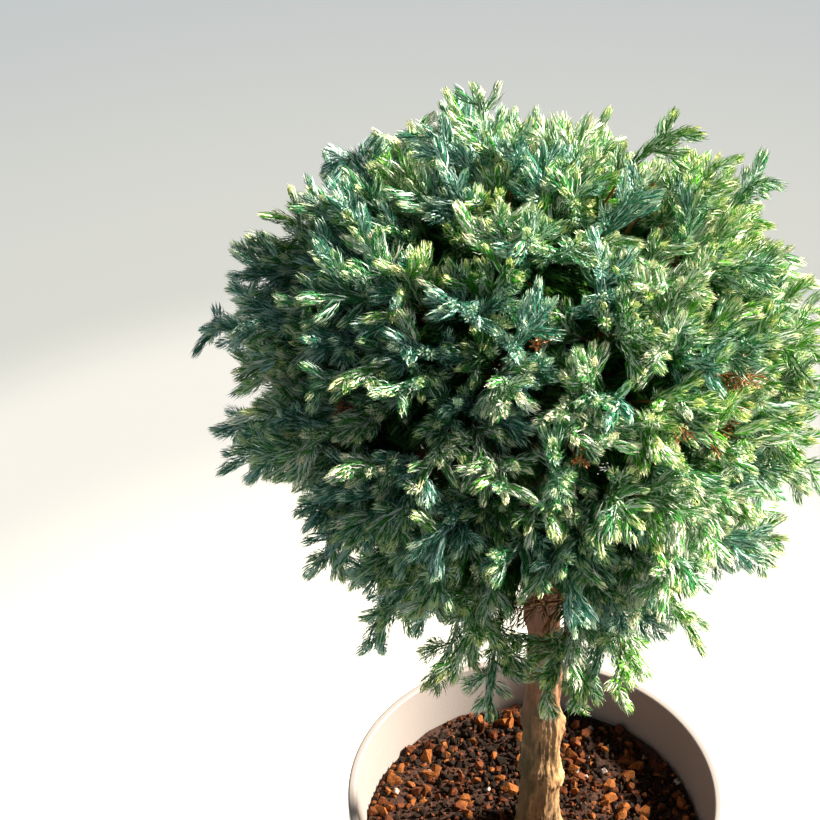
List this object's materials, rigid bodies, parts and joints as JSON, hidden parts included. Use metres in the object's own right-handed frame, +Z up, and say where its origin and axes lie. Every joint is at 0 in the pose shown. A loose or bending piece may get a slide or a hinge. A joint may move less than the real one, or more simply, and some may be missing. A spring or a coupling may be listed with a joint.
{
  "type": "potted ball-headed conifer topiary",
  "caption": "Small evergreen standard in a round pot: a bare upright stem carries a loosely clipped ball of blue-green needle sprays.",
  "frame": {"origin": "centre of the pot's flat underside", "axes": "+Z up along the stem; -Y towards the side that the picture shows; +X to its right"},
  "size_m": [0.2154, 0.2108, 0.4391],
  "materials": {
    "pot": "satin",
    "potting_mix": "matte",
    "bark": "matte",
    "needles": "matte"
  },
  "bodies": {
    "root": {"pot": "pot", "potting_mix": "potting_mix", "trunk": "bark", "bough_lower_1": "bark", "bough_lower_2": "bark", "bough_lower_3": "bark", "bough_lower_4": "bark", "bough_lower_5": "bark", "bough_middle_1": "bark", "bough_middle_2": "bark", "bough_middle_3": "bark", "bough_middle_4": "bark", "bough_middle_5": "bark", "bough_middle_6": "bark", "bough_upper_1": "bark", "bough_upper_2": "bark", "bough_upper_3": "bark", "bough_upper_4": "bark", "bough_upper_5": "bark", "foliage_lower_1": "needles", "foliage_lower_2": "needles", "foliage_lower_3": "needles", "foliage_lower_4": "needles", "foliage_lower_5": "needles", "foliage_middle_1": "needles", "foliage_middle_2": "needles", "foliage_middle_3": "needles", "foliage_middle_4": "needles", "foliage_middle_5": "needles", "foliage_middle_6": "needles", "foliage_top": "needles", "foliage_upper_1": "needles", "foliage_upper_2": "needles", "foliage_upper_3": "needles", "foliage_upper_4": "needles", "foliage_upper_5": "needles"}
  },
  "joints": []
}
